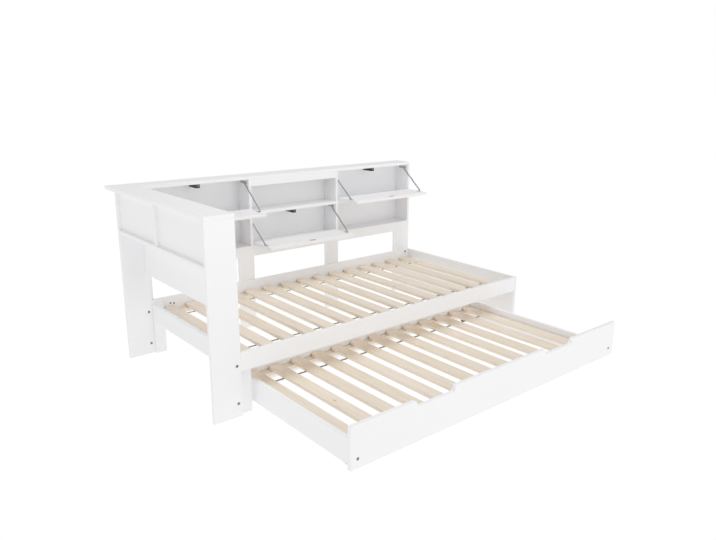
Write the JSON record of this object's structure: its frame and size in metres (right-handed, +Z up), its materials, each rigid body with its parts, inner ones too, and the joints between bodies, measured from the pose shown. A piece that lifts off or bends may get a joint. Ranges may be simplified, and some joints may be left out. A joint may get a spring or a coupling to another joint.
{
  "type": "daybed with trundle",
  "caption": "White daybed with a shelved head end, a wall-side bookcase with drop-down flap doors, and a pull-out slatted trundle on casters.",
  "frame": {"origin": "on the floor, at the middle of the whole piece with the trundle pulled out", "axes": "+X from the head end to the foot, +Y from the trundle's front to the wall, +Z up"},
  "size_m": [2.08, 1.7714, 0.919],
  "materials": {
    "white_board": "smooth white lacquer on board",
    "pine": "planed bare pine",
    "steel": "zinc plated",
    "dark_bolts": "dark plated bolt heads",
    "black_plastic": "moulded black",
    "webbing": "woven strap"
  },
  "bodies": {
    "frame": {"front_post": "white_board", "rear_post": "white_board", "head_top_board": "white_board", "head_shelf": "white_board", "head_divider": "white_board", "head_back_panels": "white_board", "headboard_panel": "white_board", "head_end_rail": "white_board", "corner_legs": "white_board", "rear_post_cleat": "white_board", "front_rail": "white_board", "rear_rail": "white_board", "foot_panel": "white_board", "slat_ledgers": "white_board", "bed_slats": "pine", "slat_webbing": "webbing", "frame_bolts": "dark_bolts", "bookcase_top": "white_board", "bookcase_left_end": "white_board", "bookcase_right_end": "white_board", "bookcase_dividers": "white_board", "bookcase_floor": "white_board", "bottom_fascia": "white_board", "top_fascia": "white_board", "bookcase_shelves": "white_board", "bookcase_back": "white_board", "bookcase_legs": "white_board", "magnetic_catches": "black_plastic", "hinge_leaves": "steel", "stay_wall_plates": "steel"},
    "trundle": {"trundle_front": "white_board", "trundle_left_side": "white_board", "trundle_right_side": "white_board", "trundle_back": "white_board", "caster_rails": "white_board", "trundle_ledgers": "white_board", "trundle_end_block": "white_board", "trundle_slats": "pine", "trundle_webbing": "webbing", "trundle_bolts": "dark_bolts", "caster_forks": "steel"},
    "wheel_front_left": {"caster_wheel_front_left": "black_plastic"},
    "wheel_front_right": {"caster_wheel_front_right": "black_plastic"},
    "wheel_back_left": {"caster_wheel_back_left": "black_plastic"},
    "wheel_back_right": {"caster_wheel_back_right": "black_plastic"},
    "top_left_door": {"top_left_door": "white_board", "top_left_door_fittings": "steel"},
    "top_left_upper_links": {"top_left_door_upper_links": "steel"},
    "top_left_lower_links": {"top_left_door_lower_links": "steel"},
    "bottom_middle_door": {"bottom_middle_door": "white_board", "bottom_middle_door_fittings": "steel"},
    "bottom_middle_upper_links": {"bottom_middle_door_upper_links": "steel"},
    "bottom_middle_lower_links": {"bottom_middle_door_lower_links": "steel"},
    "top_right_door": {"top_right_door": "white_board", "top_right_door_fittings": "steel"},
    "top_right_upper_links": {"top_right_door_upper_links": "steel"},
    "top_right_lower_links": {"top_right_door_lower_links": "steel"}
  },
  "joints": [
    {"name": "trundle_slide", "type": "slide", "parent": "frame", "child": "trundle", "axis": [0, 1, 0], "range_m": [-0.28, 0.647]},
    {"name": "wheel_front_left_spin", "type": "hinge", "parent": "trundle", "child": "wheel_front_left", "pos_m": [-0.783, -0.8192, 0.017], "axis": [1, 0, 0], "continuous": true},
    {"name": "wheel_front_right_spin", "type": "hinge", "parent": "trundle", "child": "wheel_front_right", "pos_m": [0.806, -0.8192, 0.017], "axis": [1, 0, 0], "continuous": true},
    {"name": "wheel_back_left_spin", "type": "hinge", "parent": "trundle", "child": "wheel_back_left", "pos_m": [-0.783, -0.0052, 0.017], "axis": [1, 0, 0], "continuous": true},
    {"name": "wheel_back_right_spin", "type": "hinge", "parent": "trundle", "child": "wheel_back_right", "pos_m": [0.806, -0.0052, 0.017], "axis": [1, 0, 0], "continuous": true},
    {"name": "top_left_door_hinge", "type": "hinge", "parent": "frame", "child": "top_left_door", "pos_m": [-0.569, 0.7478, 0.71], "axis": [1, 0, 0], "range_deg": [-90, 0]},
    {"name": "top_left_upper_links_pivot", "type": "hinge", "parent": "frame", "child": "top_left_upper_links", "pos_m": [-0.569, 0.8028, 0.88], "axis": [1, 0, 0], "range_deg": [0, 60.1]},
    {"name": "top_left_lower_links_pivot", "type": "hinge", "parent": "top_left_door", "child": "top_left_lower_links", "pos_m": [-0.569, 0.6278, 0.739], "axis": [1, 0, 0], "range_deg": [-9.24, 0]},
    {"name": "bottom_middle_door_hinge", "type": "hinge", "parent": "frame", "child": "bottom_middle_door", "pos_m": [0.071, 0.7478, 0.506], "axis": [1, 0, 0], "range_deg": [-90, 0]},
    {"name": "bottom_middle_upper_links_pivot", "type": "hinge", "parent": "frame", "child": "bottom_middle_upper_links", "pos_m": [0.071, 0.8028, 0.676], "axis": [1, 0, 0], "range_deg": [0, 60.1]},
    {"name": "bottom_middle_lower_links_pivot", "type": "hinge", "parent": "bottom_middle_door", "child": "bottom_middle_lower_links", "pos_m": [0.071, 0.6278, 0.535], "axis": [1, 0, 0], "range_deg": [-9.24, 0]},
    {"name": "top_right_door_hinge", "type": "hinge", "parent": "frame", "child": "top_right_door", "pos_m": [0.711, 0.7478, 0.71], "axis": [1, 0, 0], "range_deg": [-90, 0]},
    {"name": "top_right_upper_links_pivot", "type": "hinge", "parent": "frame", "child": "top_right_upper_links", "pos_m": [0.711, 0.8028, 0.88], "axis": [1, 0, 0], "range_deg": [0, 60.1]},
    {"name": "top_right_lower_links_pivot", "type": "hinge", "parent": "top_right_door", "child": "top_right_lower_links", "pos_m": [0.711, 0.6278, 0.739], "axis": [1, 0, 0], "range_deg": [-9.24, 0]}
  ],
  "couplings": [
    {"joint": "wheel_front_left_spin", "follows": "trundle_slide", "rad_per_m": -58.824},
    {"joint": "wheel_front_right_spin", "follows": "trundle_slide", "rad_per_m": -58.824},
    {"joint": "wheel_back_left_spin", "follows": "trundle_slide", "rad_per_m": -58.824},
    {"joint": "wheel_back_right_spin", "follows": "trundle_slide", "rad_per_m": -58.824},
    {"joint": "top_left_upper_links_pivot", "follows": "top_left_door_hinge", "ratio": -0.66561},
    {"joint": "top_left_lower_links_pivot", "follows": "top_left_door_hinge", "ratio": 0.10047},
    {"joint": "bottom_middle_upper_links_pivot", "follows": "bottom_middle_door_hinge", "ratio": -0.66561},
    {"joint": "bottom_middle_lower_links_pivot", "follows": "bottom_middle_door_hinge", "ratio": 0.10047},
    {"joint": "top_right_upper_links_pivot", "follows": "top_right_door_hinge", "ratio": -0.66561},
    {"joint": "top_right_lower_links_pivot", "follows": "top_right_door_hinge", "ratio": 0.10047}
  ]
}
